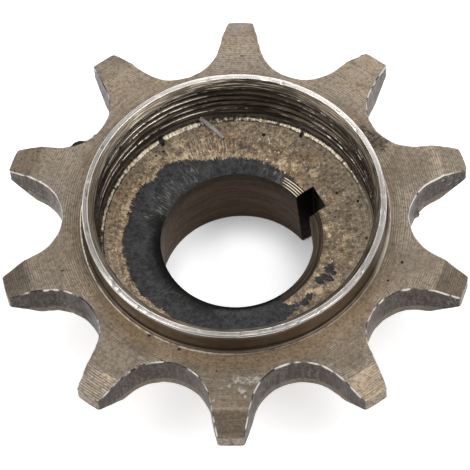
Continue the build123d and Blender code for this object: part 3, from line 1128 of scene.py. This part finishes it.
# Painted light: the floor is lighter near the wall, most on the right, where the wall's shade
# would darken it.
painted_light_by_wall = g.times(g.span(g.radius, 11, 12.6), g.span(g.x, 6, 11, 0.25, 0.8))
g.paint("outer edge", (0.5, 0.41, 0.3), painted_light_by_wall)
halo = g.times(g.span(g.mark("halo"), 0.16, 0.42), g.span(g.x, 6, -6, 0.12, 0.5))
g.paint("halo", (0.52, 0.39, 0.24), halo)
g.paint("pale patches", (0.66, 0.52, 0.34), g.spots(PALE_PATCHES, 0.7))
g.paint("olive patches", (0.06, 0.058, 0.045), g.spots(OLIVE_PATCHES, 0.8))
g.paint("dark crumbs", (0.085, 0.06, 0.038), g.crumbs, 0.5, 0.6, 0.8)
g.paint("pale crumbs", (0.8, 0.67, 0.48), g.crumbs, 0.43, 0.35, 0.75)
fibrous = g.plus(0.1, g.spots(FIBROUS, 0.42))
g.paint("pale fibres", (0.76, 0.64, 0.47), g.times(fibrous, g.span(g.fibres, 0.5, 0.64)))
g.paint("dark fibres", (0.13, 0.096, 0.064), g.times(fibrous, g.span(g.fibres, 0.5, 0.38)))
calm = g.span(g.x, 4, 8, 1, 0.55)
dark_fine = g.times(g.span(g.fine, 0.53, 0.64, 0, 0.62), calm)
pale_fine = g.times(g.span(g.fine, 0.42, 0.33, 0, 0.5), calm)
g.paint("dark grain", (0.075, 0.053, 0.034), dark_fine)
g.paint("pale grain", (0.72, 0.6, 0.43), pale_fine)
g.paint("glints", (0.95, 0.88, 0.74), g.noise(5.2, 2, 0.5), 0.69, 0.73)
outer_rings = g.times(
    g.span(g.radius, 11.5, 12.3), g.span(broad, 0.35, 0.55, 0.15, 0.7),
    g.span(g.rings(0.1, 6, 2), 0.44, 0.58, 0.6, 0),
)
g.paint("outer rings", (0.12, 0.09, 0.062), outer_rings)
holes = g.noise(1.4, 2, 0.5)
g.paint("rusty holes", (0.25, 0.1, 0.045), holes, 0.66, 0.71, 0.7)
black = g.most(g.span(holes, 0.735, 0.765), g.spots(SPECKS))
g.paint("black holes", (0.016, 0.013, 0.01), black)

# %% [markdown]
# ## Forging skin
# The skin is blue-black scale, combed by wiping, and painted shade makes it
# blackest at the bore's lip.
# It could be a mesh of its own, but its edge frays into the bare steel.  So it is
# a second colour in the same graph, laid on by its mark plus fibres.

# %% Forging skin
COMBED = [
    (8.6, 152, 1.3), (8.6, 138, 1.2), (8.4, 126, 0.9), (9.2, 162, 0.8), (7.9, 60, 0.9),
    (8, 72, 0.5), (9.5, 121, 1.1),
]


def lay_skin(g, bared=None):
    """Lay the skin over the colour so far, but not where bared is 1, and make the steel."""
    metal, g.colour = g.colour, (0.021, 0.022, 0.0235)
    g.paint("skin crumbs", (0.058, 0.0585, 0.059), g.crumbs, 0.36, 0.66)
    # Painted shade: the skin darkens towards the bore's edge on the left.
    bore_edge_shade = g.times(
        g.span(g.radius, 7.7, 9.4, 1, 0), g.span(g.x, 1, -3.5), g.span(g.y, 5.5, 1.5)
    )
    g.paint("near bore", (0.008, 0.0075, 0.007), bore_edge_shade)
    g.paint("skin patches", (0.07, 0.072, 0.075), g.patch, 0.5, 0.62, 0.45)
    combed = g.times(
        g.plus(0.1, g.spots(COMBED, 0.9)), g.span(g.noise(0.8, 2), 0.38, 0.58, 0.25, 1),
        g.span(g.spokes(600, 0.8), 0.49, 0.64),
    )
    g.paint("combed", (0.3, 0.28, 0.25), combed)
    g.paint("skin specks", (0.12, 0.1, 0.085), g.noise(3.1, 2, 0.5), 0.67, 0.73, 0.5)
    # Painted shade: a black band along the bore's lip on the left.
    past_lip = g.minus(g.radius, g.span(g.x, -8.2, -4, 8.15, 7.85))
    past_lip = g.plus(past_lip, g.times(g.minus(g.crumbs, 0.5), 0.5))
    black_lip_shade = g.times(g.span(past_lip, -0.3, 0.3, 1, 0), g.span(g.y, 3, -0.5))
    g.paint("black lip", (0.0015, 0.0013, 0.0012), black_lip_shade)
    skin, g.colour = g.colour, metal
    cover = g.span(g.plus(g.mark("skin"), g.torn), 0.43, 0.57)
    if bared:
        cover = g.times(cover, g.minus(1, bared))
    g.paint("skin", skin, cover)
    height = g.plus(g.mottle, g.times(g.fine, 0.7))
    g.steel(
        g.span(g.mottle, 0.3, 0.7, 0.44, 0.6), g.bump(height, 0.045),
        g.span(cover, 0, 1, 0.55, 0.15), Specular_IOR_Level=0.12,
    )


lay_skin(g)

# %% Mouth of the bore, machined and bare beside the keyway
g = floor_graph("bore_mouth", (0.028, 0.021, 0.015))
g.paint("turning rings", (0.105, 0.08, 0.058), g.rings(0.12, 5), 0.4, 0.66)
beside_key = g.times(g.span(g.y, 4.4, 4.8), g.span(g.plus(g.x, g.torn), 4.2, 4.7))
g.paint("by the key", (0.05, 0.034, 0.02), beside_key)
# The gold lines are turning lines on the bevel, painted bright as a highlight beside the keyway.
g.paint("gold lines", (0.86, 0.78, 0.6), g.times(g.span(g.lines(0.24), 0.58, 0.84), beside_key))
lay_skin(g, beside_key)

# %% [markdown]
# ## Bore, keyway and hub
# The bore has a red-brown bloom, and the keyway is near black.  Shade alone
# would leave them lit by the white table, so both get dark tones: painted shade,
# darkest in the keyway and at the bore's top.

# %% Bore, keyway, swarf and hub
g = Graph("bore_wall", (0.036, 0.0245, 0.0165))
bands = g.noise(2.4, 4, stretch=(0.1, 0.1, 1))
bloom = g.noise(1.6, 4, 0.65)
g.paint("bands", (0.07, 0.048, 0.035), bands, 0.35, 0.65)
g.paint("red bloom", (0.085, 0.04, 0.029), bloom, 0.52, 0.7, 0.8)
g.paint("dark spots", (0.024, 0.017, 0.0125), bloom, 0.44, 0.32, 0.8)
# Painted shade: darker at the bore's top and near black in the keyway.
g.paint("dark top", (0.015, 0.011, 0.009), g.z, 6.6, 9.4, 0.7)
g.paint("keyway", (0.003, 0.0034, 0.003), g.mark("wear_and_light"))
g.steel(
    g.span(bloom, 0.3, 0.7, 0.46, 0.6), g.bump(bloom, 0.02), 0.92,
    Specular_IOR_Level=0.12, Specular_Tint=(0.84, 0.77, 0.72),
)

g = Graph("swarf_steel", (0.27, 0.235, 0.22))
streaks = g.noise(3, 3, 0.6)
g.paint("streaks", (0.47, 0.42, 0.4), streaks, 0.35, 0.65)
g.steel(0.55, g.bump(streaks, 0.02), 0.3)

turned_face("hub_steel", 0.24, 0.015, (0.22, 0.19, 0.16), (0.28, 0.225, 0.165))
